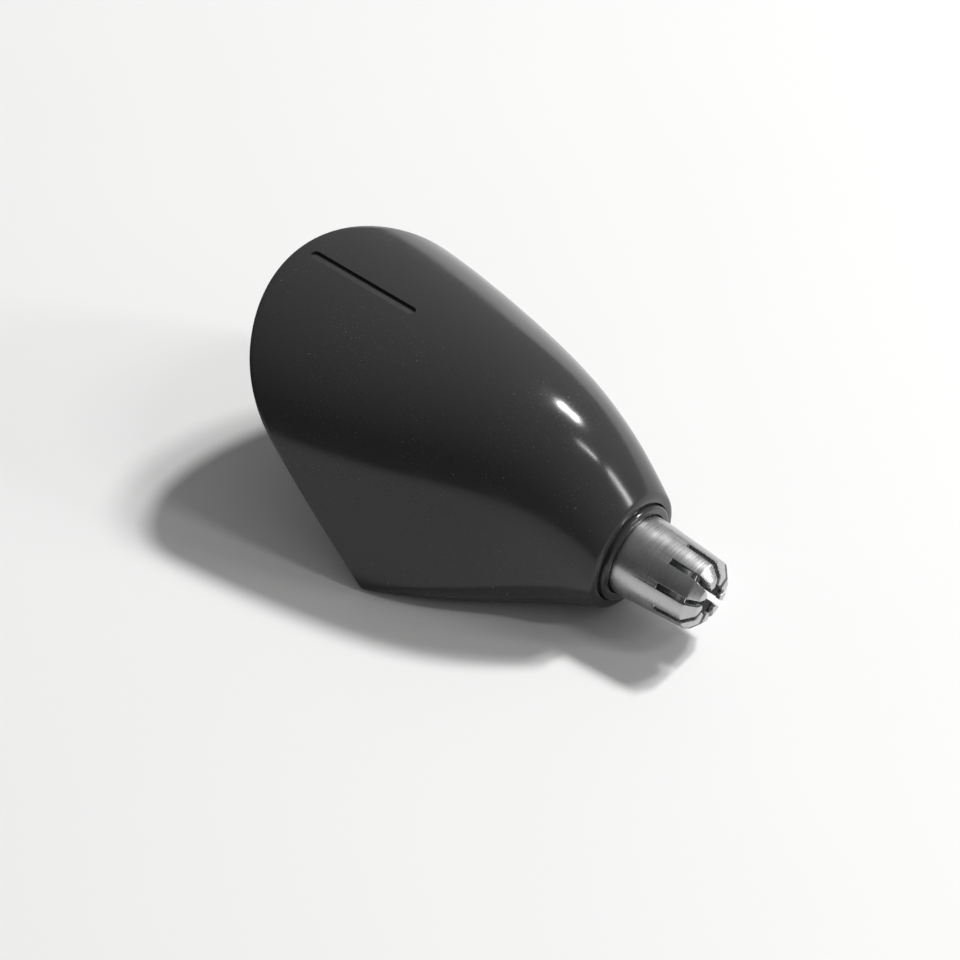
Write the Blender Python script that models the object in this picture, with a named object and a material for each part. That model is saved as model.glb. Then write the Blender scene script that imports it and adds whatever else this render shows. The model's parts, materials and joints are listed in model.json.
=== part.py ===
"""Click-on rotary nose trimmer head, lying on its flat back.

The blade barrel points along +X and the arched top faces +Z. The flat back rests on z = 0, and the
origin is under the middle of the bounding box. Lengths named here are in millimetres, "depth" is the
distance behind the front face of the nose, and MM turns them into metres.
"""

import bmesh
import bpy
from math import atan, cos, pi, radians, sin, sqrt
from mathutils import Vector

MM = 0.001
GAP = 0.2            # clearance between parts that stay still
RUN = 0.06           # radial clearance of a shaft in its bush
FIT = 0.04           # radial clearance of a piece fixed on its shaft

# The body
NOSE_RADIUS = 5.9    # the flat round front face, tangent to the flat back
TOP_HEIGHT = 19.85   # arched top above the flat back
TOP_REACH = 21.5     # depth where the top becomes level
TOP_POWER = 3.6
HALF_WIDTH = 16.1    # where the arch springs, at the widest depth
WIDTH_REACH = 37.0
WIDTH_POWER = 1.47
SPRING_HEIGHT = 7.75     # centre of the elliptical arch at the rear
SPRING_REACH = 19.4
WALL_DRAFT = 0.36        # outward lean of the side walls per mm of height
DRAFT_REACH = 14.8
CORNER_REACH = 21.0      # depth where the bottom corner becomes sharp
SHARP_CORNER = 0.4
REAR_DEPTH = 25.4        # the slanted rear cut, at the height of the blade axis
REAR_SLOPE = 1.1         # and how much deeper it gets per mm of height
WALL = 1.3
FRONT_WALL = 2.2

NOSE_BORE = 5.05
COVER_EDGE = 1.1         # how far the back cover's opening stays inside the flat bottom's rim
GROOVE_LENGTH = 13.0     # the index mark on the top
GROOVE_SETBACK = 1.4     # and how far it stays from the rear edge
GROOVE_HALF = 0.5
GROOVE_DEEP = 0.3

# The blade end; a barrel depth counts forwards from the front face
AXIS_HEIGHT = NOSE_RADIUS
BARREL_TIP = 9.0         # how far the barrel stands out of the front face
BARREL_SHOULDER = 8.1    # where its end starts to close in
BARREL_RADIUS = 4.0
BARREL_STRAIGHT = 1.2
SHOULDER_RADIUS = 3.5
TIP_RADIUS = 2.4         # the flat ring at the end
TIP_HOLE = 1.5
CAGE_WALL = 0.42
FLANGE_RADIUS = 4.3      # the step that keeps the barrel in the collar
FLANGE_FRONT = 1.4
FLANGE_BACK = 2.2
COLLAR_FRONT = 0.45      # how far the collar stands out of the front face
COLLAR_BACK = 4.4
COLLAR_RADIUS = NOSE_BORE - 0.15
COLLAR_MOUTH = BARREL_RADIUS + 0.12
COLLAR_SEAT = 4.5
SLOTS = 9
SLOT_WIDTH = 0.62
SLOT_START = 5.0
SLOT_PHASE = radians(30)
BLADE_ANGLE = radians(50)
BLADE_THICK = 0.55
BLADE_TIP = BARREL_TIP - 0.65
BLADE_ROOT = BLADE_TIP - 2.3
BLADE_THROAT = 1.5       # half the opening of the U
HUB_RADIUS = 2.3
HUB_FRONT = BLADE_ROOT + 0.35
HUB_BACK = 0.8
SPRING_TURNS = 4
SPRING_RADIUS = 1.45
SPRING_WIRE = 0.17       # half the wire's thickness
SPRING_FRONT = 0.55
SPRING_BACK = 2.1        # this one behind the front face

# The gears
MODULE = 0.5
PINION_TEETH = 10
GEAR_TEETH = 14
CENTRES = MODULE * (PINION_TEETH + GEAR_TEETH) / 2
DRIVE_HEIGHT = AXIS_HEIGHT + CENTRES
GEAR_FRONT = 9.2
DRIVE_SHAFT = 1.0
CUTTER_SHAFT = 0.8

# Plates inside the body
PLATE_FRONT = 7.0
PLATE_THICK = 1.4
BULKHEAD_FRONT = 16.6
BULKHEAD_THICK = 1.4
POST_Y = 5.3
POST_Z = 7.5
COVER_THICK = 1.3
FOOT_DEPTH = 13.2        # depth of the feet that the back cover is screwed to
LATCH_Y = 8.5
LATCH_LOW = 6.6
LATCH_HIGH = 11.4
LATCH_ROOT = 17.6
COUPLER_FRONT = 18.6
COUPLER_BACK = 22.1
COUPLER_RADIUS = 2.4
SCREW_RADIUS = 0.45
SCREW_SLOT = 0.16        # half the width of a screwdriver slot

# Places that follow from these
TOP_REAR_DEPTH = REAR_DEPTH + REAR_SLOPE * (TOP_HEIGHT - AXIS_HEIGHT)
FACE_X = (TOP_REAR_DEPTH - BARREL_TIP) / 2
BULKHEAD_REAR = BULKHEAD_FRONT + BULKHEAD_THICK


def point(depth, y, z):
    return Vector(((FACE_X - depth) * MM, y * MM, z * MM))


def material(name, colour, roughness, metallic=0.0):
    made = bpy.data.materials.get(name)
    if made is None:
        made = bpy.data.materials.new(name)
        made.use_nodes = True
        shader = made.node_tree.nodes["Principled BSDF"]
        shader.inputs["Base Color"].default_value = (*colour, 1.0)
        shader.inputs["Roughness"].default_value = roughness
        shader.inputs["Metallic"].default_value = metallic
    return made


def gloss_black():
    return material("gloss_black", (0.02, 0.02, 0.022), 0.16)


def grey_acetal():
    return material("grey_acetal", (0.3, 0.3, 0.31), 0.42)


def matte_black():
    return material("matte_black", (0.035, 0.035, 0.038), 0.5)


def brushed_steel():
    return material("brushed_steel", (0.62, 0.62, 0.63), 0.28, 1.0)


def ground_steel():
    return material("ground_steel", (0.8, 0.8, 0.81), 0.15, 1.0)


def white_acetal():
    return material("white_acetal", (0.82, 0.81, 0.77), 0.42)


def bronze():
    return material("bronze", (0.55, 0.36, 0.16), 0.35, 1.0)


def felt():
    return material("felt", (0.28, 0.28, 0.27), 0.95)


def node(name, mesh_data, look, origin=None):
    """An object of this mesh, whose vertices are in world places, with its origin moved to a point."""
    mesh = bpy.data.meshes.new(name)
    mesh_data.to_mesh(mesh)
    mesh_data.free()
    mesh.shade_smooth()
    mesh.set_sharp_from_angle(angle=radians(32))
    made = bpy.data.objects.new(name, mesh)
    bpy.context.scene.collection.objects.link(made)
    if origin is not None:
        for vertex in mesh.vertices:
            vertex.co -= origin
        made.location = origin
    if look is None:
        made.hide_render = True
        made.display_type = "WIRE"
    else:
        mesh.materials.append(look)
    return made


def join(mesh_data, first, second):
    """The faces between two rings, or between a ring and a single point."""
    count = max(len(first), len(second))
    for i in range(count):
        j = (i + 1) % count
        if len(first) == 1:
            corners = [first[0], second[j], second[i]]
        elif len(second) == 1:
            corners = [first[i], first[j], second[0]]
        else:
            corners = [first[i], first[j], second[j], second[i]]
        mesh_data.faces.new(corners)


def loft(rings, closed=False):
    """A closed surface through rings of points, with flat ends unless the last ring meets the first."""
    made = bmesh.new()
    rows = [[made.verts.new(place) for place in ring] for ring in rings]
    for first, second in zip(rows, rows[1:]):
        join(made, first, second)
    if closed:
        join(made, rows[-1], rows[0])
    else:
        for end in (rows[0], rows[-1]):
            if len(end) > 2:
                made.faces.new(end)
    bmesh.ops.recalc_face_normals(made, faces=made.faces)
    return made


def turned(profile, height, segments=28, y=0.0, closed=False, phase=0.0):
    """A turned solid about an axis along X: the profile holds (depth, radius) pairs."""
    rings = []
    for depth, radius in profile:
        count = segments if radius > 0 else 1
        angles = [phase + 2 * pi * i / count for i in range(count)]
        rings.append([point(depth, y + radius * cos(a), height + radius * sin(a)) for a in angles])
    return loft(rings, closed)


def tube(front, back, inner, outer, height, segments=28):
    profile = [(front, inner), (front, outer), (back, outer), (back, inner)]
    return turned(profile, height, segments, closed=True)


def rod(front, back, radius, height, segments=24, y=0.0):
    return turned([(front, radius), (back, radius)], height, segments, y)


def pillar(x_depth, y, low, high, radius, segments=16):
    outline = [(radius * cos(2 * pi * i / segments), radius * sin(2 * pi * i / segments)) for i in range(segments)]
    return loft([[point(x_depth + a, y + b, z) for a, b in outline] for z in (low, high)])


def slab(outline, front, back):
    """An outline of (y, z) pairs extruded along X."""
    return loft([[point(depth, y, z) for y, z in outline] for depth in (front, back)])


def block(front, back, y_low, y_high, z_low, z_high):
    return slab([(y_low, z_low), (y_high, z_low), (y_high, z_high), (y_low, z_high)], front, back)


def cut(target, cutter, operation="DIFFERENCE"):
    step = target.modifiers.new(cutter.name, "BOOLEAN")
    step.operation = operation
    step.solver = "EXACT"
    step.object = cutter
    return target


def cutter(name, mesh_data):
    return node(name, mesh_data, None)


# ---- the body's form -------------------------------------------------------------------------------


def ease(share, power):
    """Rises from 0 to 1 and levels off smoothly."""
    return 1 - (1 - min(max(share, 0.0), 1.0)) ** power


def form(depth, inset=0.0):
    """The sizes of the body's cross-section at this depth, moved inwards by inset."""
    top = 2 * NOSE_RADIUS + (TOP_HEIGHT - 2 * NOSE_RADIUS) * ease(depth / TOP_REACH, TOP_POWER) - inset
    half = NOSE_RADIUS + (HALF_WIDTH - NOSE_RADIUS) * ease(depth / WIDTH_REACH, WIDTH_POWER) - inset
    centre = AXIS_HEIGHT + (SPRING_HEIGHT - AXIS_HEIGHT) * ease(depth / SPRING_REACH, 2)
    draft = WALL_DRAFT * ease(depth / DRAFT_REACH, 2)
    corner = max(NOSE_RADIUS * (1 - depth / CORNER_REACH) - inset, SHARP_CORNER)
    rise = top - centre
    spring = atan(draft * rise / half)
    foot = half * cos(spring) + draft * (centre + rise * sin(spring) - inset)
    flat = foot - draft * corner - corner * sqrt(1 + draft * draft)
    return rise, half, centre, draft, corner, spring, flat


def section(depth, inset=0.0, floor=0.0, arch_steps=24, corner_steps=5):
    """Points (y, z) round the cross-section: a flat bottom, leaning walls and an elliptical arch."""
    rise, half, centre, draft, corner, spring, flat = form(depth, inset)
    turn = atan(draft) + pi / 2
    right = []
    for i in range(corner_steps + 1):
        angle = -pi / 2 + turn * i / corner_steps
        right.append((flat + corner * cos(angle), floor + corner + corner * sin(angle)))
    arch = []
    for i in range(arch_steps + 1):
        angle = spring + (pi - 2 * spring) * i / arch_steps
        arch.append((half * cos(angle), centre + rise * sin(angle)))
    left = [(-y, z) for y, z in reversed(right)]
    return right + arch + left


def body_loft(depths, inset=0.0, floor=0.0):
    return loft([[point(d, y, z) for y, z in section(d, inset, floor)] for d in depths])


def rear_cutter(name, setback=0.0):
    """A block behind the slanted rear plane."""
    size = 30
    rings = []
    for z in (-5, size):
        start = REAR_DEPTH + REAR_SLOPE * (z - AXIS_HEIGHT) - setback
        corners = ((start, -size), (start, size), (start + size, size), (start + size, -size))
        rings.append([point(depth, y, z) for depth, y in corners])
    return cutter(name, loft(rings))


def cover_outline(edge):
    """Half-width of the back cover's opening along the depth, edge further in from the flat bottom's rim."""
    depths = [5.6 + 1.4 * i for i in range(12)]
    right = [(depth, form(depth)[6] - edge) for depth in depths]
    left = [(depth, -y) for depth, y in reversed(right)]
    return right + left


def cover_loft(edge, front_gap, low, high):
    """A flat plate of the cover's outline between two heights."""
    outline = cover_outline(edge)
    first = outline[0][0]
    moved = [(depth + (front_gap if depth == first else 0), y) for depth, y in outline]
    return loft([[point(depth, y, z) for depth, y in moved] for z in (low, high)])


def top_shell():
    """The glossy shell: arch, nose and front face in one piece, open at the slanted rear and underneath."""
    outer = [0, 0.6, 1.3, 2.1, 3.1, 4.4, 6, 8, 10.5, 13.5, 17, 21.5, 26, 31, 36, 42]
    inner = [FRONT_WALL, 3.1, 4.4, 6, 8, 10.5, 13.5, 17, 21.5, 26, 31, 36, 44]
    shell = node("top_shell", body_loft(outer), gloss_black())
    cut(shell, cutter("shell_cavity", body_loft(inner, WALL, WALL)))
    cut(shell, cutter("nose_bore", rod(-1, 5.4, NOSE_BORE, AXIS_HEIGHT, 40)))
    cut(shell, cutter("cover_opening", cover_loft(COVER_EDGE, 0, -1, WALL + 0.6)))
    back = TOP_REAR_DEPTH - GROOVE_SETBACK
    groove = block(back - GROOVE_LENGTH, back, -GROOVE_HALF, GROOVE_HALF, TOP_HEIGHT - GROOVE_DEEP, 25)
    cut(shell, cutter("index_groove", groove))
    cut(shell, rear_cutter("rear_plane"))
    return shell


def back_cover():
    """The flat plate under the shell, with two sunk screw holes."""
    cover = node("back_cover", cover_loft(COVER_EDGE + GAP, GAP, 0, COVER_THICK), matte_black())
    for side, y in (("left", POST_Y), ("right", -POST_Y)):
        cut(cover, cutter("cover_sink_" + side, pillar(FOOT_DEPTH, y, -1, 0.95, 1.5)))
        cut(cover, cutter("cover_hole_" + side, pillar(FOOT_DEPTH, y, -1, 3, 0.7)))
    cut(cover, rear_cutter("cover_rear_plane", GAP))
    return cover


# ---- the blade end ---------------------------------------------------------------------------------


def nose_collar():
    """The ring in the front face that holds the barrel."""
    bevel = 0.15
    step = FLANGE_FRONT - GAP
    profile = [
        (bevel - COLLAR_FRONT, COLLAR_MOUTH), (-COLLAR_FRONT, COLLAR_MOUTH + bevel),
        (-COLLAR_FRONT, COLLAR_RADIUS - 2 * bevel), (bevel - COLLAR_FRONT, COLLAR_RADIUS - bevel / 2),
        (2 * bevel - COLLAR_FRONT, COLLAR_RADIUS), (COLLAR_BACK, COLLAR_RADIUS), (COLLAR_BACK, COLLAR_SEAT),
        (step, COLLAR_SEAT), (step, COLLAR_MOUTH),
    ]
    return node("nose_collar", turned(profile, AXIS_HEIGHT, 40, closed=True), gloss_black())


def cutter_cage():
    """The slotted steel barrel: a thin cup with a chamfered end and a flange at its root."""
    inside = CAGE_WALL - BARREL_TIP
    profile = [
        (FLANGE_BACK, FLANGE_RADIUS), (FLANGE_BACK, BARREL_RADIUS - CAGE_WALL),
        (-BARREL_STRAIGHT, BARREL_RADIUS - CAGE_WALL),
        (CAGE_WALL / 2 - BARREL_SHOULDER, SHOULDER_RADIUS - CAGE_WALL),
        (inside, TIP_RADIUS - CAGE_WALL / 2), (inside, TIP_HOLE),
        (-BARREL_TIP, TIP_HOLE), (-BARREL_TIP, TIP_RADIUS),
        (-BARREL_SHOULDER, SHOULDER_RADIUS), (-BARREL_STRAIGHT, BARREL_RADIUS),
        (FLANGE_FRONT, BARREL_RADIUS), (FLANGE_FRONT, FLANGE_RADIUS),
    ]
    cage = node("cutter_cage", turned(profile, AXIS_HEIGHT, 54, closed=True), brushed_steel())
    for i in range(SLOTS):
        angle = SLOT_PHASE + 2 * pi * i / SLOTS
        cut(cage, slot_cutter("cage_slot_%d" % (i + 1), angle))
    return cage


def slot_cutter(name, angle):
    """A radial blade of a cutter, from the barrel's end face down its side."""
    low, high = TIP_HOLE - 0.6, BARREL_RADIUS + 1
    half = SLOT_WIDTH / 2
    rings = []
    for depth in (-SLOT_START, -BARREL_TIP - 1):
        ring = []
        for radius, side in ((low, -half), (low, half), (high, half), (high, -half)):
            y = radius * cos(angle) - side * sin(angle)
            z = AXIS_HEIGHT + radius * sin(angle) + side * cos(angle)
            ring.append(point(depth, y, z))
        rings.append(ring)
    return cutter(name, loft(rings))


def split_ring(name, front, back, inner, outer, height, opening, look, origin=None):
    """A C-shaped spring ring, open at the top."""
    steps = 20
    start = pi / 2 + opening / 2
    sweep = 2 * pi - opening
    angles = [start + sweep * i / steps for i in range(steps + 1)]
    outline = [(outer * cos(a), height + outer * sin(a)) for a in angles]
    outline += [(inner * cos(a), height + inner * sin(a)) for a in reversed(angles)]
    return node(name, slab(outline, front, back), look, origin)


def cage_clip():
    return split_ring("cage_clip", 2.4, 2.9, 3.5, 4.4, AXIS_HEIGHT, radians(40), ground_steel())


def hair_seal():
    return node("hair_seal", tube(3.15, 4.0, CUTTER_SHAFT + 0.1, 4.4, AXIS_HEIGHT), felt())


# ---- what spins with the pinion --------------------------------------------------------------------


def cutter_origin():
    return point(0, 0, AXIS_HEIGHT)


def cutter_shaft():
    tip = HUB_FRONT - 1.3
    chamfer = 0.2
    profile = [
        (BULKHEAD_REAR - 0.8, 0), (BULKHEAD_REAR - 0.8, CUTTER_SHAFT),
        (chamfer - tip, CUTTER_SHAFT), (-tip, CUTTER_SHAFT - chamfer), (-tip, 0),
    ]
    return node("cutter_shaft", turned(profile, AXIS_HEIGHT, 20), ground_steel(), cutter_origin())


def gear(name, teeth, front, back, bore, height, phase, origin, look):
    """A spur gear with slim straight-sided teeth; each share is a part of the tooth pitch."""
    pitch = MODULE * teeth / 2
    root, tip = pitch - 1.2 * MODULE, pitch + 0.8 * MODULE
    tooth = ((root, -0.31), (pitch, -0.21), (tip, -0.09), (tip, 0.09), (pitch, 0.21), (root, 0.31))
    step = 2 * pi / teeth
    outline = []
    for i in range(teeth):
        middle = phase + step * i
        for radius, share in tooth:
            angle = middle + share * step
            outline.append((radius * cos(angle), height + radius * sin(angle)))
    made = node(name, slab(outline, front, back), look, origin)
    cut(made, cutter(name + "_bore", rod(front - 1, back + 1, bore, height, 20)))
    return made


def pinion():
    gap_up = pi / 2 + pi / PINION_TEETH
    front, back = GEAR_FRONT - 0.2, GEAR_FRONT + 2.4
    return gear("pinion", PINION_TEETH, front, back, CUTTER_SHAFT + FIT, AXIS_HEIGHT, gap_up, cutter_origin(),
                white_acetal())


def spring_seat():
    front = SPRING_BACK + SPRING_WIRE + 0.08
    seat = tube(front, front + 0.4, CUTTER_SHAFT + FIT, 2.2, AXIS_HEIGHT, 24)
    return node("spring_seat", seat, ground_steel(), cutter_origin())


def cutter_spring():
    """The coil that pushes the blade carrier against the cage."""
    steps = SPRING_TURNS * 14
    wire_sides = 6
    rings = []
    for i in range(steps + 1):
        share = i / steps
        angle = 2 * pi * SPRING_TURNS * share
        depth = SPRING_BACK * share - SPRING_FRONT * (1 - share)
        ring = []
        for k in range(wire_sides):
            around = 2 * pi * k / wire_sides
            r = SPRING_RADIUS + SPRING_WIRE * cos(around)
            ring.append(point(depth + SPRING_WIRE * sin(around), r * cos(angle), AXIS_HEIGHT + r * sin(angle)))
        rings.append(ring)
    return node("cutter_spring", loft(rings), ground_steel(), cutter_origin())


def blade_carrier():
    """The plastic hub that slides on the shaft and holds the blade in a slot."""
    bore = CUTTER_SHAFT + RUN
    blind_end = HUB_FRONT - 0.7
    profile = [
        (-blind_end, 0), (-blind_end, bore), (-HUB_BACK, bore), (-HUB_BACK, HUB_RADIUS - 0.2),
        (-HUB_BACK - 0.6, HUB_RADIUS), (0.5 - HUB_FRONT, HUB_RADIUS),
        (-HUB_FRONT, HUB_RADIUS - 0.4), (-HUB_FRONT, 0),
    ]
    carrier = node("blade_carrier", turned(profile, AXIS_HEIGHT, 24), grey_acetal(), cutter_origin())
    slot = bar(0.05 - BLADE_ROOT, -BLADE_ROOT - 1, 3, BLADE_THICK / 2 + 0.05, BLADE_ANGLE)
    return cut(carrier, cutter("carrier_slot", slot))


def bar(front, back, reach, half, angle):
    """A straight bar across the axis."""
    corners = ((-reach, -half), (reach, -half), (reach, half), (-reach, half))
    right, up = cos(angle), sin(angle)
    outline = [(a * right - b * up, AXIS_HEIGHT + a * up + b * right) for a, b in corners]
    return slab(outline, front, back)


def inner_blade():
    """The ground U-shaped blade: two wings that sweep round the inside of the barrel, joined at their root."""
    reach = SHOULDER_RADIUS - CAGE_WALL - GAP
    wing = [
        (-BLADE_ROOT, reach), (0.45 - BLADE_TIP, reach), (-BLADE_TIP, TIP_RADIUS - 0.4),
        (-BLADE_TIP, BLADE_THROAT), (-BLADE_ROOT - 0.7, BLADE_THROAT),
    ]
    profile = wing + [(depth, -across) for depth, across in reversed(wing)]
    rings = []
    for side in (-BLADE_THICK / 2, BLADE_THICK / 2):
        ring = []
        for depth, across in profile:
            y = across * cos(BLADE_ANGLE) - side * sin(BLADE_ANGLE)
            z = AXIS_HEIGHT + across * sin(BLADE_ANGLE) + side * cos(BLADE_ANGLE)
            ring.append(point(depth, y, z))
        rings.append(ring)
    return node("inner_blade", loft(rings), ground_steel(), cutter_origin())


# ---- what spins with the drive gear ----------------------------------------------------------------


def drive_origin():
    return point(BULKHEAD_REAR, 0, DRIVE_HEIGHT)


def drive_shaft():
    shaft = rod(PLATE_FRONT + 0.1, COUPLER_FRONT + 1.6, DRIVE_SHAFT, DRIVE_HEIGHT, 20)
    return node("drive_shaft", shaft, ground_steel(), drive_origin())


def drive_gear():
    tooth_down = -pi / 2
    bore = DRIVE_SHAFT + FIT
    back = GEAR_FRONT + 2.2
    made = gear("drive_gear", GEAR_TEETH, GEAR_FRONT, back, bore, DRIVE_HEIGHT, tooth_down, drive_origin(),
                white_acetal())
    hub = tube(back - 0.1, back + 1.4, bore, 2.0, DRIVE_HEIGHT, 20)
    return cut(made, cutter("drive_gear_hub", hub), "UNION")


def drive_coupler():
    """The dog that the handle's driver turns: a boss with a slot across its end."""
    bore = DRIVE_SHAFT + FIT
    blind_end = COUPLER_FRONT + 1.8
    chamfer = 0.3
    profile = [
        (blind_end, 0), (blind_end, bore), (COUPLER_FRONT, bore), (COUPLER_FRONT, COUPLER_RADIUS - chamfer),
        (COUPLER_FRONT + chamfer, COUPLER_RADIUS), (COUPLER_BACK - chamfer, COUPLER_RADIUS),
        (COUPLER_BACK, COUPLER_RADIUS - chamfer), (COUPLER_BACK, 0),
    ]
    made = node("drive_coupler", turned(profile, DRIVE_HEIGHT, 24), white_acetal(), drive_origin())
    slot = block(COUPLER_BACK - 1.2, COUPLER_BACK + 1, -0.55, 0.55, DRIVE_HEIGHT - 3, DRIVE_HEIGHT + 3)
    return cut(made, cutter("coupler_slot", slot))


def drive_circlip():
    return split_ring("drive_circlip", 13.4, 13.8, DRIVE_SHAFT + FIT, 1.9, DRIVE_HEIGHT, radians(70),
                      ground_steel(), drive_origin())


# ---- plates, bushes, latches and screws ------------------------------------------------------------


def hull_outline(circles, steps=44):
    """The outline round a set of circles (y, z, radius)."""
    outline = []
    for i in range(steps):
        y, z = cos(2 * pi * i / steps), sin(2 * pi * i / steps)
        far = max(circles, key=lambda c: c[0] * y + c[1] * z + c[2])
        outline.append((far[0] + far[2] * y, far[1] + far[2] * z))
    return outline


def bush(name, front, back, bore, height):
    """A bronze bush pressed in a plate, with its flange against the plate's front."""
    outer = bore + 0.85
    flange = outer + 0.5
    profile = [
        (front - 0.6, bore), (front - 0.6, flange), (front - 0.1, flange),
        (front - 0.1, outer), (back, outer), (back, bore),
    ]
    return node(name, turned(profile, height, 24, closed=True), bronze())


def gearbox_frame():
    """The front bearing plate with two posts back to the bulkhead and two feet down to the back cover."""
    circles = [(0, AXIS_HEIGHT, 3.5), (0, DRIVE_HEIGHT, 3.2), (-POST_Y, POST_Z, 1.35), (POST_Y, POST_Z, 1.35)]
    plate = slab(hull_outline(circles), PLATE_FRONT, PLATE_FRONT + PLATE_THICK)
    frame = node("gearbox_frame", plate, matte_black())
    for side, y in (("left", POST_Y), ("right", -POST_Y)):
        post = rod(PLATE_FRONT + 0.3, BULKHEAD_FRONT - GAP, 1.3, POST_Z, 16, y)
        cut(frame, cutter("post_" + side, post), "UNION")
        foot = block(FOOT_DEPTH - 1.5, FOOT_DEPTH + 1.5, y - 1.45, y + 1.45, COVER_THICK + GAP, POST_Z)
        cut(frame, cutter("foot_" + side, foot), "UNION")
        post_hole = rod(BULKHEAD_FRONT - 1.1, BULKHEAD_FRONT + 2, 0.6, POST_Z, 12, y)
        cut(frame, cutter("post_hole_" + side, post_hole))
        cut(frame, cutter("foot_hole_" + side, pillar(FOOT_DEPTH, y, 0, 5.2, 0.6, 12)))
    for name, height, bore in (("cutter", AXIS_HEIGHT, CUTTER_SHAFT), ("drive", DRIVE_HEIGHT, DRIVE_SHAFT)):
        hole = rod(PLATE_FRONT - 2, PLATE_FRONT + 3, bore + RUN + 0.95, height, 24)
        cut(frame, cutter(name + "_plate_hole", hole))
    return frame


def bulkhead():
    """The rear bearing plate, the floor of the socket that the handle plugs into."""
    outline = section(BULKHEAD_FRONT, WALL + 0.3, WALL + 0.35)
    plate = node("bulkhead", slab(outline, BULKHEAD_FRONT, BULKHEAD_REAR), matte_black())
    for name, height, bore in (("cutter", AXIS_HEIGHT, CUTTER_SHAFT), ("drive", DRIVE_HEIGHT, DRIVE_SHAFT)):
        hole = rod(BULKHEAD_FRONT - 1, BULKHEAD_REAR + 1, bore + RUN + 0.95, height, 24)
        cut(plate, cutter(name + "_bulkhead_hole", hole))
    for side, y in (("left", 1), ("right", -1)):
        way = rod(BULKHEAD_FRONT - 1, BULKHEAD_REAR + 1, SCREW_RADIUS + GAP, POST_Z, 12, y * POST_Y)
        cut(plate, cutter("screw_way_" + side, way))
        low, high = sorted((y * (LATCH_Y - 0.95), y * (LATCH_Y + 1.15)))
        pocket = block(BULKHEAD_REAR - 0.8, BULKHEAD_REAR + 1, low, high, LATCH_LOW - 0.2, LATCH_HIGH + 0.2)
        cut(plate, cutter("latch_pocket_" + side, pocket))
    return plate


def latch(name, side):
    """A springy arm that snaps on the handle's spigot, rooted in a pocket of the bulkhead."""
    foot = [(0, -0.6), (0, 0.8), (1.8, 0.8), (2.3, 0.5)]
    hook = [(7.8, 0.5), (8.3, 0.1), (7.6, -0.9), (7.0, -0.9), (6.5, -0.3)]
    arm = [(2.3, -0.3), (1.8, -0.6)]
    outline = [(LATCH_ROOT + depth, side * (LATCH_Y + out)) for depth, out in foot + hook + arm]
    rings = [[point(depth, y, z) for depth, y in outline] for z in (LATCH_LOW, LATCH_HIGH)]
    root = point(LATCH_ROOT + 0.4, side * LATCH_Y, (LATCH_LOW + LATCH_HIGH) / 2)
    return node(name, loft(rings), matte_black(), root)


def gearbox_screw(name, y):
    """A small slotted pan head screw from the socket side into a gearbox post."""
    head = BULKHEAD_REAR + 0.15
    end = BULKHEAD_FRONT - 0.9
    profile = [
        (end, 0), (end, SCREW_RADIUS), (head, SCREW_RADIUS), (head, 1.15),
        (head + 0.5, 1.1), (head + 0.75, 0.8), (head + 0.75, 0),
    ]
    made = node(name, turned(profile, POST_Z, 16, y), ground_steel())
    slot = block(head + 0.4, head + 2, y - 2, y + 2, POST_Z - SCREW_SLOT, POST_Z + SCREW_SLOT)
    return cut(made, cutter(name + "_slot", slot))


def cover_screw(name, y):
    """A small screw up through the back cover into a foot, its slotted head sunk in the cover."""
    segments = 16
    rings = []
    for z, radius in ((0.2, 1.2), (0.75, 1.2), (0.8, SCREW_RADIUS), (4.6, SCREW_RADIUS)):
        angles = [2 * pi * i / segments for i in range(segments)]
        rings.append([point(FOOT_DEPTH + radius * cos(a), y + radius * sin(a), z) for a in angles])
    made = node(name, loft(rings), ground_steel())
    slot = block(FOOT_DEPTH - 2, FOOT_DEPTH + 2, y - SCREW_SLOT, y + SCREW_SLOT, -1, 0.45)
    return cut(made, cutter(name + "_slot", slot))


def main():
    for old in list(bpy.data.objects):
        bpy.data.objects.remove(old)
    top_shell()
    back_cover()
    nose_collar()
    cutter_cage()
    cage_clip()
    hair_seal()
    cutter_shaft()
    pinion()
    spring_seat()
    cutter_spring()
    blade_carrier()
    inner_blade()
    drive_shaft()
    drive_gear()
    drive_coupler()
    drive_circlip()
    gearbox_frame()
    bulkhead()
    plate_back = PLATE_FRONT + PLATE_THICK
    bush("cutter_front_bush", PLATE_FRONT, plate_back, CUTTER_SHAFT + RUN, AXIS_HEIGHT)
    bush("drive_front_bush", PLATE_FRONT, plate_back, DRIVE_SHAFT + RUN, DRIVE_HEIGHT)
    bush("cutter_rear_bush", BULKHEAD_FRONT, BULKHEAD_REAR, CUTTER_SHAFT + RUN, AXIS_HEIGHT)
    bush("drive_rear_bush", BULKHEAD_FRONT, BULKHEAD_REAR, DRIVE_SHAFT + RUN, DRIVE_HEIGHT)
    latch("latch_left", 1)
    latch("latch_right", -1)
    gearbox_screw("gearbox_screw_left", POST_Y)
    gearbox_screw("gearbox_screw_right", -POST_Y)
    cover_screw("cover_screw_left", POST_Y)
    cover_screw("cover_screw_right", -POST_Y)


main()
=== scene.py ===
"""The looks of the nose trimmer head: finer shell, barrel and collar, materials, floor, light and camera."""

import json
from math import cos, pi, radians, sin

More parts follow.
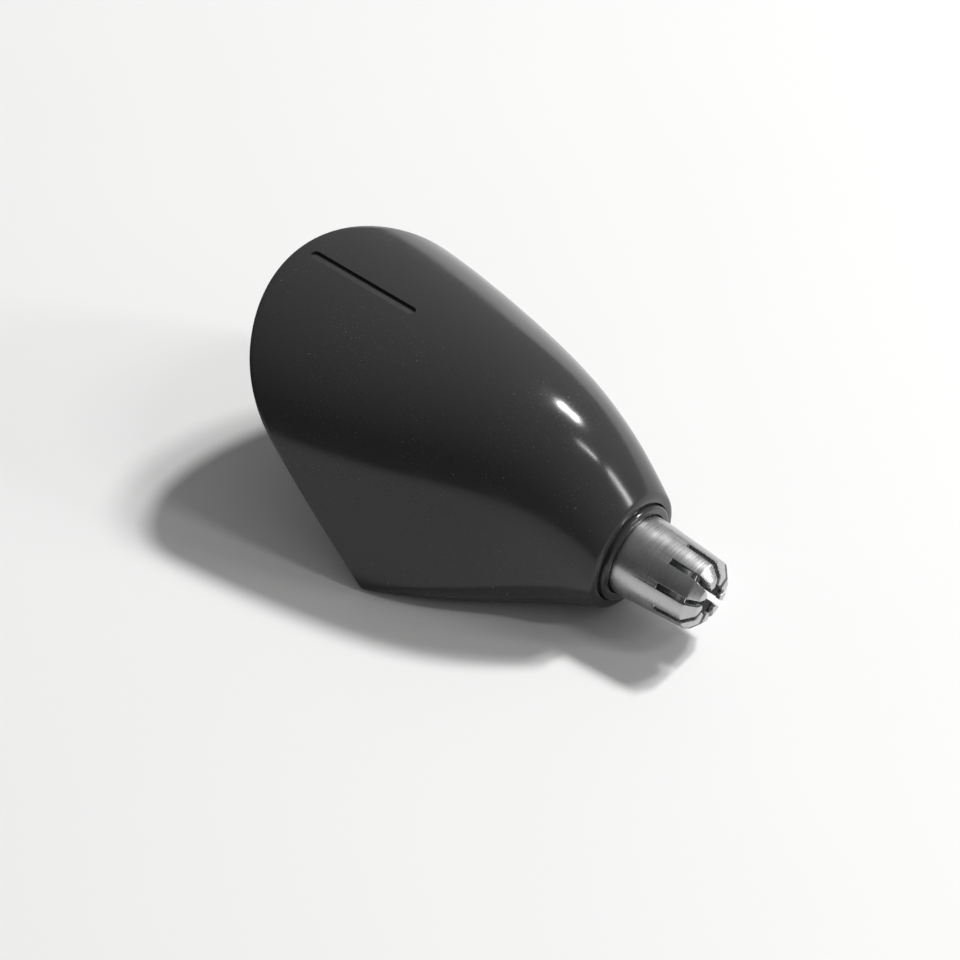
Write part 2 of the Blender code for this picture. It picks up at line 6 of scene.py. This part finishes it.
import bmesh
import bpy
import numpy as np
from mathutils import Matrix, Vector

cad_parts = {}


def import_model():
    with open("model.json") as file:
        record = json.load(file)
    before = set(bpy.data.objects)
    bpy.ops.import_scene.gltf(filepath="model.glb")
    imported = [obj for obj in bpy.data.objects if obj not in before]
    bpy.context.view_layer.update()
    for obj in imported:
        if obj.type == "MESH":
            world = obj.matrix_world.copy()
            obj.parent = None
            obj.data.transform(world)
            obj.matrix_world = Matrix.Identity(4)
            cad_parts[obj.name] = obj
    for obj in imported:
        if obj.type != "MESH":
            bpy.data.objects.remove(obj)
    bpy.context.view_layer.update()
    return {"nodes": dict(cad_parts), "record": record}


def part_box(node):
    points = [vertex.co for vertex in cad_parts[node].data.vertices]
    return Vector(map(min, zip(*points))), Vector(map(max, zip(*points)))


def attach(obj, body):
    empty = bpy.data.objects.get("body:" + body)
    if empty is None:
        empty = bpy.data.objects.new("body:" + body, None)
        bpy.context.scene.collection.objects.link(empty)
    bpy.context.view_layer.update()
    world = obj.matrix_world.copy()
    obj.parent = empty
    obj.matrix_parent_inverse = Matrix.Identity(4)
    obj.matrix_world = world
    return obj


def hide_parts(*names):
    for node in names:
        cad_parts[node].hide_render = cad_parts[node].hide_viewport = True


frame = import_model()

MM = 0.001
NODES = frame["nodes"]

# ---- the body's form, in millimetres, as the CAD has it ---------------------------------------------

NOSE_RADIUS = 5.9
TOP_HEIGHT = 19.85
TOP_REACH = 21.5
TOP_POWER = 3.6
HALF_WIDTH = 16.1
WIDTH_REACH = 37.0
WIDTH_POWER = 1.47
SPRING_HEIGHT = 7.75
SPRING_REACH = 19.4
WALL_DRAFT = 0.36
DRAFT_REACH = 14.8
CORNER_REACH = 21.0
SHARP_CORNER = 0.4
REAR_DEPTH = 25.4
REAR_SLOPE = 1.1
WALL = 1.3
FRONT_WALL = 2.2
NOSE_BORE = 5.05
NOSE_WALL = 0.7                # the wall's thickness at the nose
RIM_LIP = 0.12                 # how far the rear rim's edges are cut back
FORM_START = 0.25              # depth at which the rounded front edge ends
FRONT_EDGE = ((0.0, 0.22), (0.035, 0.1), (0.11, 0.03))      # depths and insets along that edge
BORE_STATIONS = ((FRONT_WALL, 0), (1.0, 0), (0.08, 0), (0.02, 0.02), (0.0, 0.08))   # depths and widenings
AXIS = NOSE_RADIUS
GROOVE_HALF = 0.5
GROOVE_DEEP = 0.3
BARREL_TIP = 9.0
BARREL_SHOULDER = 8.1
BARREL_RADIUS = 4.0
BARREL_STRAIGHT = 1.2
SHOULDER_RADIUS = 3.5
TIP_RADIUS = 2.4
TIP_HOLE = 1.5
CAGE_WALL = 0.42
COLLAR_FRONT = 0.45
COLLAR_BACK = 4.4
COLLAR_SEAT = 4.5              # radius of the bush's seat inside the collar
COLLAR_LIP = 1.2               # depth at which the mouth widens to the seat
FLANGE_RADIUS = 4.3
FLANGE_FRONT = 1.4
FLANGE_BACK = 2.2
COVER_FRONT = 5.6
COVER_STEP = 1.4
COVER_STATIONS = 12
COVER_EDGE = 1.1
GROOVE_LENGTH = 13.0
GROOVE_SETBACK = 1.4           # from the groove's rear end to the rear rim
SLOTS = 9
SLOT_WIDTH = 0.62
SLOT_START = 5.0
SLOT_PHASE = radians(30)
FACE_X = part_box("cutter_cage")[1].x / MM - BARREL_TIP         # world x of the round front face
TOP_REAR_DEPTH = REAR_DEPTH + REAR_SLOPE * (TOP_HEIGHT - AXIS)
GROOVE_BACK = TOP_REAR_DEPTH - GROOVE_SETBACK
GROOVE_FRONT = GROOVE_BACK - GROOVE_LENGTH


def world(depth, y, z):
    return Vector(((FACE_X - depth) * MM, y * MM, z * MM))


# ---- mesh helpers -----------------------------------------------------------------------------------


def piece(name, rows, closed_rows=False):
    """A mesh through rows of equally many points, closed round each row, and from the last row to the
    first if asked, or else with both ends capped."""
    made = bmesh.new()
    grid = [[made.verts.new(p) for p in row] for row in rows]
    pairs = list(zip(grid, grid[1:]))
    if closed_rows:
        pairs.append((grid[-1], grid[0]))
    for a, b in pairs:
        for i in range(len(a)):
            j = (i + 1) % len(a)
            made.faces.new((a[i], a[j], b[j], b[i]))
    if not closed_rows:
        made.faces.new(grid[0])
        made.faces.new(grid[-1])
    bmesh.ops.recalc_face_normals(made, faces=made.faces)
    mesh = bpy.data.meshes.new(name)
    made.to_mesh(mesh)
    made.free()
    obj = bpy.data.objects.new(name, mesh)
    bpy.context.scene.collection.objects.link(obj)
    return obj


def carve(obj, *cutters):
    """Cuts the cutters out of obj, applies the cuts and removes the cutters."""
    for cutter in cutters:
        step = obj.modifiers.new("cut", "BOOLEAN")
        step.operation = "DIFFERENCE"
        step.solver = "EXACT"
        step.object = cutter
    bake(obj)
    for cutter in cutters:
        bpy.data.objects.remove(cutter)


def bake(obj):
    """Applies the modifiers."""
    graph = bpy.context.evaluated_depsgraph_get()
    graph.update()
    mesh = bpy.data.meshes.new_from_object(obj.evaluated_get(graph))
    obj.modifiers.clear()
    obj.data = mesh


def soften(obj, width, angle=35):
    """Rounds the sharp edges a little, so that they catch the light."""
    step = obj.modifiers.new("edges", "BEVEL")
    step.width = width * MM
    step.segments = 2
    step.limit_method = "ANGLE"
    step.angle_limit = radians(angle)
    step.use_clamp_overlap = True


def smooth(obj, angle=30):
    obj.data.shade_smooth()
    obj.data.set_sharp_from_angle(angle=radians(angle))


def turned(name, profile, segments):
    """A turned ring about the drive axis; the profile is closed and holds (depth, radius) pairs."""
    turns = [2 * pi * i / segments for i in range(segments)]
    rows = [[world(d, r * cos(turn), AXIS + r * sin(turn)) for turn in turns] for d, r in profile]
    return piece(name, rows, closed_rows=True)


def rounded(corners, steps=5):
    """A closed profile of (depth, radius) pairs, from corners (depth, radius, cut back by how much)."""
    points = [Vector(corner[:2]) for corner in corners]
    made = []
    for i, here in enumerate(points):
        cut = corners[i][2]
        if cut <= 0:
            made.append(tuple(here))
            continue
        before = (points[i - 1] - here).normalized()
        after = (points[(i + 1) % len(points)] - here).normalized()
        start, end = here + before * cut, here + after * cut
        for k in range(steps + 1):
            t = k / steps
            made.append(tuple((1 - t) ** 2 * start + 2 * t * (1 - t) * here + t ** 2 * end))
    return made


# ---- the shell --------------------------------------------------------------------------------------


def ease(share, power):
    return 1 - (1 - np.clip(share, 0, 1)) ** power


def form(depth, inset):
    """The cross-section's sizes at each depth, moved inwards by inset; both may be arrays."""
    top = 2 * NOSE_RADIUS + (TOP_HEIGHT - 2 * NOSE_RADIUS) * ease(depth / TOP_REACH, TOP_POWER) - inset
    half = NOSE_RADIUS + (HALF_WIDTH - NOSE_RADIUS) * ease(depth / WIDTH_REACH, WIDTH_POWER) - inset
    centre = AXIS + (SPRING_HEIGHT - AXIS) * ease(depth / SPRING_REACH, 2)
    draft = WALL_DRAFT * ease(depth / DRAFT_REACH, 2)
    corner = np.maximum(NOSE_RADIUS * (1 - depth / CORNER_REACH) - inset, SHARP_CORNER)
    rise = top - centre
    spring = np.arctan(draft * rise / half)
    foot = half * np.cos(spring) + draft * (centre + rise * np.sin(spring) - inset)
    flat = foot - draft * corner - corner * np.sqrt(1 + draft * draft)
    return rise, half, centre, draft, corner, spring, flat


BOTTOM, CORNER, SIDE, ARCH = 24, 14, 26, 110      # points along each stretch of a section
OUTSIDE_ROWS, INSIDE_ROWS = 96, 48
BARREL_SEGMENTS, COLLAR_SEGMENTS = 216, 160


def columns():
    """For each point round a section: its stretch, its share of the stretch and its side."""
    made = []
    for stretch, count in (("bottom", BOTTOM), ("corner", CORNER), ("side", SIDE), ("arch", ARCH)):
        made += [(stretch, i / count, 1) for i in range(count)]
    for stretch, count in (("side", SIDE), ("corner", CORNER)):
        made += [(stretch, 1 - i / count, -1) for i in range(count)]
    return made


COLUMNS = columns()
STRETCH = np.array([c[0] for c in COLUMNS])
SHARE = np.array([c[1] for c in COLUMNS])
SIGN = np.array([c[2] for c in COLUMNS])


def section(depth, inset):
    """The points (y, z) round the cross-section, one per column, at a depth per column."""
    rise, half, centre, draft, corner, spring, flat = form(depth, inset)
    turn = np.arctan(draft)
    angle = -pi / 2 + (turn + pi / 2) * SHARE
    corner_y = flat + corner * np.cos(angle)
    corner_z = inset + corner + corner * np.sin(angle)
    low_y = flat + corner * np.cos(turn)
    low_z = inset + corner + corner * np.sin(turn)
    high_y = half * np.cos(spring)
    high_z = centre + rise * np.sin(spring)
    side_y = low_y + (high_y - low_y) * SHARE
    side_z = low_z + (high_z - low_z) * SHARE
    over = spring + (pi - 2 * spring) * SHARE
    kinds = [STRETCH == "bottom", STRETCH == "corner", STRETCH == "side", STRETCH == "arch"]
    y = np.select(kinds, [flat * (2 * SHARE - 1), corner_y * SIGN, side_y * SIGN, half * np.cos(over)])
    z = np.select(kinds, [inset + 0 * flat, corner_z, side_z, centre + rise * np.sin(over)])
    return y, z


def rear_depth(inset):
    """Where each column's line meets the slanted rear plane."""
    depth = np.full(len(COLUMNS), REAR_DEPTH)
    for _ in range(40):
        z = section(depth, inset)[1]
        depth = REAR_DEPTH + REAR_SLOPE * (z - AXIS)
    return depth


def section_row(depth, inset):
    depth = np.broadcast_to(np.asarray(depth, float), len(COLUMNS))
    y, z = section(depth, inset)
    return [world(*p) for p in zip(depth, y, z)]


def round_row(depth, radius):
    """A round row whose points sit at the same angles as the front face's."""
    y, z = section(np.zeros(len(COLUMNS)), 0.0)
    angle = np.arctan2(z - AXIS, y)
    return [world(depth, radius * cos(a), AXIS + radius * sin(a)) for a in angle]


def cover_cutter():
    """The opening under the shell that the back cover fills."""
    depths = [COVER_FRONT + COVER_STEP * i for i in range(COVER_STATIONS)]
    right = [(d, float(form(np.array(d), 0.0)[6]) - COVER_EDGE) for d in depths]
    outline = right + [(d, -y) for d, y in reversed(right)]
    return piece("cover_cutter", [[world(d, y, z) for d, y in outline] for z in (-1, WALL + 0.6)])


def arc(middle, radius, first, sweep, steps):
    """The points along an arc, both ends included."""
    turns = [first + sweep * k / steps for k in range(steps + 1)]
    return [(middle[0] + radius * cos(turn), middle[1] + radius * sin(turn)) for turn in turns]


def groove_cutter():
    """The index mark along the top: a shallow channel with rounded ends."""
    outline = arc((GROOVE_BACK - GROOVE_HALF, 0), GROOVE_HALF, -pi / 2, pi, 12)
    outline += arc((GROOVE_FRONT + GROOVE_HALF, 0), GROOVE_HALF, pi / 2, pi, 12)
    heights = (TOP_HEIGHT - GROOVE_DEEP, TOP_HEIGHT + 5)
    return piece("groove_cutter", [[world(d, y, z) for d, y in outline] for z in heights])


def in_groove(face):
    """Whether a face of the shell lies inside the index mark."""
    place = face.center / MM
    high = TOP_HEIGHT - GROOVE_DEEP - 0.01 < place.z < TOP_HEIGHT - 0.015
    return high and abs(place.y) < GROOVE_HALF + 0.01 and place.x < FACE_X - GROOVE_FRONT + 0.01


def outside_rows():
    """From the rounded front edge, along the outside, to the rounded rear rim."""
    rows = [section_row(depth, inset) for depth, inset in FRONT_EDGE]
    end = rear_depth(0.0)
    shares = np.linspace(0, 1, OUTSIDE_ROWS) ** 1.35
    rows += [section_row(FORM_START + (end - RIM_LIP - FORM_START) * s, 0.0) for s in shares]
    rows.append(section_row(end - 0.035, 0.035))
    return rows + [section_row(rear_depth(inset), inset) for inset in (RIM_LIP, WALL - RIM_LIP)]


def inside_rows():
    """From the rear rim, along the inside of the wall, to the front wall."""
    end = rear_depth(WALL) - 0.1
    rows = [section_row(end, WALL)]
    for s in np.linspace(1, 0, INSIDE_ROWS)[1:]:
        depth = FRONT_WALL + (end - FRONT_WALL) * s
        share = ease((depth - FRONT_WALL) / 4, 2)
        rows.append(section_row(depth, NOSE_WALL + (WALL - NOSE_WALL) * share))
    return rows


def bore_rows():
    """The bore for the collar, from the front wall's back to the front face."""
    return [round_row(depth, NOSE_BORE + widening) for depth, widening in BORE_STATIONS]


def make_shell():
    shell = piece("shell_body", outside_rows() + inside_rows() + bore_rows(), closed_rows=True)
    carve(shell, cover_cutter(), groove_cutter())
    smooth(shell, 32)
    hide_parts("top_shell")
    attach(shell, "housing")
    shell.data.materials.append(gloss_black())
    shell.data.materials.append(matte_black())
    for face in shell.data.polygons:
        face.material_index = 1 if in_groove(face) else 0


# ---- barrel and collar ------------------------------------------------------------------------------


def slot_cutters():
    """One radial cutter per slot, with small radii at the slot's root."""
    half, radius = SLOT_WIDTH / 2, 0.12
    root = -SLOT_START - radius
    outline = [(-BARREL_TIP - 1, -half)]
    outline += arc((root, radius - half), radius, -pi / 2, pi / 2, 3)
    outline += arc((root, half - radius), radius, 0, pi / 2, 3)
    outline.append((-BARREL_TIP - 1, half))
    made = []
    for i in range(SLOTS):
        angle = SLOT_PHASE + 2 * pi * i / SLOTS
        out, up = cos(angle), sin(angle)
        rows = [[world(d, reach * out - s * up, AXIS + reach * up + s * out) for d, s in outline]
                for reach in (TIP_HOLE - 0.55, BARREL_RADIUS + 1)]
        made.append(piece("slot_cutter_%d" % i, rows))
    return made


def make_barrel():
    """The slotted steel barrel: its inside from the flange to the tip, then its outside back again."""
    bore, inside = BARREL_RADIUS - CAGE_WALL, CAGE_WALL - BARREL_TIP
    corners = [(FLANGE_BACK, FLANGE_RADIUS, 0),
               (FLANGE_BACK, bore, 0),
               (-BARREL_STRAIGHT, bore, 0.5),
               (CAGE_WALL / 2 - BARREL_SHOULDER, SHOULDER_RADIUS - CAGE_WALL, 0.1),
               (inside, TIP_RADIUS - CAGE_WALL / 2, 0.1),
               (inside, TIP_HOLE, 0.03),
               (-BARREL_TIP, TIP_HOLE, 0.05),
               (-BARREL_TIP, TIP_RADIUS, 0.15),
               (-BARREL_SHOULDER, SHOULDER_RADIUS, 0.12),
               (-BARREL_STRAIGHT, BARREL_RADIUS, 0.9),
               (FLANGE_FRONT, BARREL_RADIUS, 0),
               (FLANGE_FRONT, FLANGE_RADIUS, 0)]
    barrel = turned("cage_barrel", rounded(corners), BARREL_SEGMENTS)
    carve(barrel, *slot_cutters())
    soften(barrel, 0.035, 50)
    bake(barrel)
    smooth(barrel, 35)
    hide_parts("cutter_cage")
    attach(barrel, "housing")
    barrel.data.materials.append(brushed_steel())


def make_collar():
    """The ring in the nose that holds the barrel."""
    outer, mouth = NOSE_BORE - 0.15, BARREL_RADIUS + 0.12
    corners = [(-COLLAR_FRONT, mouth, 0.12),
               (-COLLAR_FRONT, outer, 0.34),
               (COLLAR_BACK, outer, 0.1),
               (COLLAR_BACK, COLLAR_SEAT, 0),
               (COLLAR_LIP, COLLAR_SEAT, 0),
               (COLLAR_LIP, mouth, 0)]
    collar = turned("collar_ring", rounded(corners, 7), COLLAR_SEGMENTS)
    smooth(collar, 40)
    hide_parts("nose_collar")
    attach(collar, "housing")
    collar.data.materials.append(gloss_black())


# ---- materials --------------------------------------------------------------------------------------


class Look:
    """A Principled material and short calls for its nodes."""

    def __init__(self, name, colour, roughness, metallic=0.0, **sockets):
        self.material = bpy.data.materials.new(name)
        self.material.use_nodes = True
        self.tree = self.material.node_tree
        self.shader = self.tree.nodes["Principled BSDF"]
        self.shader.inputs["Base Color"].default_value = (*colour, 1)
        self.shader.inputs["Roughness"].default_value = roughness
        self.shader.inputs["Metallic"].default_value = metallic
        for socket, value in sockets.items():
            self.shader.inputs[socket.replace("_", " ")].default_value = value
        self.place = self.tree.nodes.new("ShaderNodeTexCoord").outputs["Object"]

    def put(self, kind, output, **inputs):
        """A new node's output; set_ names are its settings, i0 and i1 its sockets by number."""
        node = self.tree.nodes.new("ShaderNode" + kind)
        for name, value in inputs.items():
            if name.startswith("set_"):
                setattr(node, name[4:], value)
                continue
            socket = node.inputs[int(name[1:]) if name in ("i0", "i1") else name.replace("_", " ")]
            if isinstance(value, bpy.types.NodeSocket):
                self.tree.links.new(value, socket)
            else:
                socket.default_value = value
        return node.outputs[output]

    def stretched(self, x, y, z):
        return self.put("Mapping", "Vector", Vector=self.place, Scale=(x, y, z))

    def noise(self, scale, detail=3.0, rough=0.5, vector=None, distortion=0.0):
        return self.put("TexNoise", "Fac", Vector=vector or self.place, Scale=scale, Detail=detail,
                        Roughness=rough, Distortion=distortion)

    def spots(self, scale, size):
        """1 in small round specks, 0 elsewhere."""
        near = self.put("TexVoronoi", "Distance", Vector=self.place, Scale=scale, Randomness=1.0)
        return self.band(near, size, size * 0.5, 0.0, 1.0)

    def band(self, value, low, high, to_low, to_high):
        return self.put("MapRange", "Result", Value=value, From_Min=low, From_Max=high, To_Min=to_low,
                        To_Max=to_high, set_clamp=True)

    def maths(self, operation, a, b=0.0, clamp=False):
        return self.put("Math", "Value", i0=a, i1=b, set_operation=operation, set_use_clamp=clamp)

    def blend(self, share, first, second):
        node = self.tree.nodes.new("ShaderNodeMix")
        node.data_type = "RGBA"
        for socket, value in ((node.inputs[0], share), (node.inputs[6], first), (node.inputs[7], second)):
            if isinstance(value, bpy.types.NodeSocket):
                self.tree.links.new(value, socket)
            else:
                socket.default_value = value if isinstance(value, float) else (*value, 1)
        return node.outputs[2]

    def bump(self, height, strength, distance):
        before = self.shader.inputs["Normal"].links
        node = self.tree.nodes.new("ShaderNodeBump")
        node.inputs["Strength"].default_value = strength
        node.inputs["Distance"].default_value = distance
        if before:
            self.tree.links.new(before[0].from_socket, node.inputs["Normal"])
        self.tree.links.new(height, node.inputs["Height"])
        self.tree.links.new(node.outputs["Normal"], self.shader.inputs["Normal"])

    def feed(self, socket, value):
        self.tree.links.new(value, self.shader.inputs[socket])


def once(make):
    """Makes each material a single time."""
    kept = []

    def get():
        if not kept:
            kept.append(make())
        return kept[0]
    return get


@once
def gloss_black():
    """Polished black plastic with a little dust and hairline wear."""
    black, grey = (0.036, 0.036, 0.0365), (0.75, 0.75, 0.74)
    look = Look("gloss_black", black, 0.14, IOR=1.42)
    cloud = look.noise(140, 3, 0.6)
    dusty = look.band(cloud, 0.42, 0.72, 0.15, 1.0)
    fine = look.spots(2600, 0.13)
    large = look.spots(700, 0.07)
    grain = look.band(look.noise(5200, 2, 0.6), 0.6, 0.8, 0.0, 0.35)
    dust = look.maths("MAXIMUM", look.maths("MAXIMUM", fine, large), grain)
    dust = look.maths("MULTIPLY", dust, dusty, clamp=True)
    look.feed("Base Color", look.blend(look.maths("MULTIPLY", dust, 0.14), black, grey))
    hairline = look.noise(60, 4, 0.7, look.stretched(1, 24, 24), 0.4)
    hairline = look.band(hairline, 0.66, 0.72, 0.0, 1.0)
    rough = look.band(look.noise(320, 4, 0.55), 0.3, 0.7, 0.13, 0.2)
    rough = look.maths("ADD", rough, look.maths("MULTIPLY", hairline, 0.05))
    rough = look.maths("ADD", rough, look.maths("MULTIPLY", dust, 0.25), clamp=True)
    look.feed("Roughness", rough)
    look.bump(look.noise(420, 2, 0.5), 0.05, 0.0001)
    look.bump(dust, 0.12, 0.00001)
    return look.material


@once
def matte_black():
    """Spark-eroded black plastic."""
    look = Look("matte_black", (0.03, 0.03, 0.032), 0.5)
    tone = look.noise(900, 4, 0.6)
    look.feed("Base Color", look.blend(tone, (0.022, 0.022, 0.024), (0.045, 0.045, 0.047)))
    look.feed("Roughness", look.band(look.noise(3000, 3, 0.6), 0.3, 0.7, 0.42, 0.62))
    look.bump(look.noise(7000, 3, 0.6), 0.35, 0.00002)
    return look.material


def acetal(name, low, high):
    look = Look(name, high, 0.4, Subsurface_Weight=0.05)
    look.feed("Base Color", look.blend(look.noise(500, 3, 0.5), low, high))
    look.feed("Roughness", look.band(look.noise(1500, 3, 0.5), 0.3, 0.7, 0.34, 0.48))
    look.bump(look.noise(4000, 2, 0.5), 0.1, 0.00001)
    return look.material


@once
def white_acetal():
    return acetal("white_acetal", (0.74, 0.73, 0.69), (0.83, 0.82, 0.78))


@once
def grey_acetal():
    return acetal("grey_acetal", (0.22, 0.22, 0.23), (0.3, 0.3, 0.31))


def steel(name, low, high, rough_low, rough_high, rings, depth):
    """Steel with tool marks that run round the X axis."""
    look = Look(name, high, rough_low, 1.0)
    lines = look.noise(1, 4, 0.65, look.stretched(rings, rings * 0.02, rings * 0.02))
    broad = look.noise(260, 3, 0.6)
    look.feed("Base Color", look.blend(broad, low, high))
    rough = look.band(lines, 0.3, 0.7, rough_low, rough_high)
    rough = look.maths("ADD", rough, look.band(broad, 0.45, 0.75, 0.0, 0.1), clamp=True)
    look.feed("Roughness", rough)
    look.bump(lines, 0.25, depth)
    look.bump(look.noise(1800, 3, 0.6), 0.08, depth)
    return look.material


@once
def brushed_steel():
    return steel("brushed_steel", (0.42, 0.42, 0.425), (0.62, 0.62, 0.625), 0.2, 0.34, 14000, 0.00001)


@once
def ground_steel():
    return steel("ground_steel", (0.62, 0.62, 0.625), (0.8, 0.8, 0.81), 0.12, 0.24, 9000, 0.000006)


@once
def bronze():
    look = Look("bronze", (0.5, 0.33, 0.15), 0.38, 1.0)
    look.feed("Base Color", look.blend(look.noise(1800, 4, 0.6), (0.4, 0.26, 0.11), (0.6, 0.41, 0.2)))
    look.feed("Roughness", look.band(look.noise(5000, 2, 0.6), 0.35, 0.65, 0.3, 0.5))
    look.bump(look.spots(6000, 0.3), 0.3, 0.00001)
    return look.material


@once
def felt():
    look = Look("felt", (0.27, 0.27, 0.26), 0.95, Sheen_Weight=0.3)
    fibres = look.noise(2600, 5, 0.7, look.stretched(1, 3, 1), 1.5)
    look.feed("Base Color", look.blend(fibres, (0.16, 0.16, 0.155), (0.36, 0.36, 0.35)))
    look.bump(fibres, 0.6, 0.00006)
    return look.material


LOOKS = {"gloss_black": gloss_black, "matte_black": matte_black, "grey_acetal": grey_acetal,
         "white_acetal": white_acetal, "brushed_steel": brushed_steel, "ground_steel": ground_steel,
         "bronze": bronze, "felt": felt}


def dress_cad_nodes():
    """Each CAD node gets its slot's material; those of the slots in soft, save the spring, also get softly
    rounded edges.
    """
    soft = {"matte_black": 0.12, "grey_acetal": 0.08, "white_acetal": 0.06, "ground_steel": 0.035,
            "bronze": 0.05}
    for part in frame["record"]["subparts"]:
        obj = NODES[part["node"]]
        slot = part["material_slot"]
        obj.data.materials.clear()
        obj.data.materials.append(LOOKS[slot]())
        weld = obj.modifiers.new("weld", "WELD")
        weld.merge_threshold = 0.001 * MM
        if slot in soft and part["node"] != "cutter_spring":
            soften(obj, soft[slot])
        smooth(obj)


# ---- floor, light and camera ------------------------------------------------------------------------


def make_floor():
    size = 2.0
    corners = [(-size, -size), (size, -size), (size, size), (-size, size)]
    mesh = bpy.data.meshes.new("floor")
    mesh.from_pydata([(x, y, 0) for x, y in corners], [], [(0, 1, 2, 3)])
    floor = bpy.data.objects.new("floor", mesh)
    bpy.context.scene.collection.objects.link(floor)
    look = Look("paper", (0.86, 0.86, 0.855), 0.6)
    look.feed("Base Color", look.blend(look.noise(18, 3, 0.5), (0.845, 0.845, 0.84), (0.87, 0.87, 0.865)))
    look.bump(look.noise(700, 4, 0.6), 0.05, 0.0001)
    mesh.materials.append(look.material)


def area_light(name, direction, wide, tall, power):
    """A soft light that faces the object from a direction."""
    data = bpy.data.lights.new(name, "AREA")
    data.shape = "RECTANGLE" if wide != tall else "DISK"
    data.size = wide
    data.size_y = tall
    data.energy = power
    light = bpy.data.objects.new(name, data)
    bpy.context.scene.collection.objects.link(light)
    towards = Vector(direction).normalized()
    light.location = towards * LIGHT_DISTANCE
    light.rotation_euler = towards.to_track_quat("Z", "Y").to_euler()


LIGHT_DISTANCE = 1.2
AZIMUTH, ELEVATION = 40.6, 46.0
CAMERA_DISTANCE = 0.222
AIM_LEFT, AIM_UP = 0.01398, 0.00658     # the picture's middle, seen from the middle of the front face
LENS = 91.1


def camera_axes():
    az, el = radians(AZIMUTH), radians(ELEVATION)
    back = Vector((sin(az) * cos(el), -cos(az) * cos(el), sin(el)))
    right = Vector((cos(az), sin(az), 0))
    return right, back.cross(right), back


def make_camera():
    right, up, back = camera_axes()
    data = bpy.data.cameras.new("camera")
    data.lens = LENS
    data.sensor_width = 36
    data.clip_start = 0.01
    camera = bpy.data.objects.new("camera", data)
    bpy.context.scene.collection.objects.link(camera)
    camera.location = world(0, 0, AXIS) + back * CAMERA_DISTANCE - right * AIM_LEFT + up * AIM_UP
    camera.rotation_euler = (radians(90 - ELEVATION), 0, radians(AZIMUTH))
    bpy.context.scene.camera = camera


def sky(plan, height):
    """The direction at a plan angle from +X towards +Y and a height above the horizon, in degrees."""
    plan, height = radians(plan), radians(height)
    return Vector((cos(plan) * cos(height), sin(plan) * cos(height), sin(height)))


def make_lights():
    """Two soft lights for the two-lobed shadow, and two narrow ones for the streak on the nose."""
    area_light("key", sky(83, 52), 0.12, 0.12, 8.0)
    area_light("second", sky(72, 49), 0.16, 0.16, 5.2)
    area_light("window_high", sky(29, 49), 0.05, 0.34, 1.5)
    area_light("window_low", sky(31, 22), 0.08, 0.42, 2.6)


def make_world():
    """A dim sky that is brightest towards the side of the two main lights."""
    scene = bpy.context.scene
    scene.world = bpy.data.worlds.new("world")
    scene.world.use_nodes = True
    tree = scene.world.node_tree
    background = tree.nodes["Background"]
    place = tree.nodes.new("ShaderNodeTexCoord")
    aim = tree.nodes.new("ShaderNodeVectorMath")
    aim.operation = "DOT_PRODUCT"
    aim.inputs[1].default_value = sky(75, 30)
    tree.links.new(place.outputs["Generated"], aim.inputs[0])
    ramp = tree.nodes.new("ShaderNodeMapRange")
    for name, value in (("From Min", -0.8), ("From Max", 0.95), ("To Min", 0.05), ("To Max", 0.3)):
        ramp.inputs[name].default_value = value
    tree.links.new(aim.outputs["Value"], ramp.inputs["Value"])
    tree.links.new(ramp.outputs["Result"], background.inputs["Strength"])
    background.inputs["Color"].default_value = (1, 1, 1, 1)
    scene.view_settings.view_transform = "Standard"


make_camera()
dress_cad_nodes()
make_shell()
make_barrel()
make_collar()
make_floor()
make_lights()
make_world()
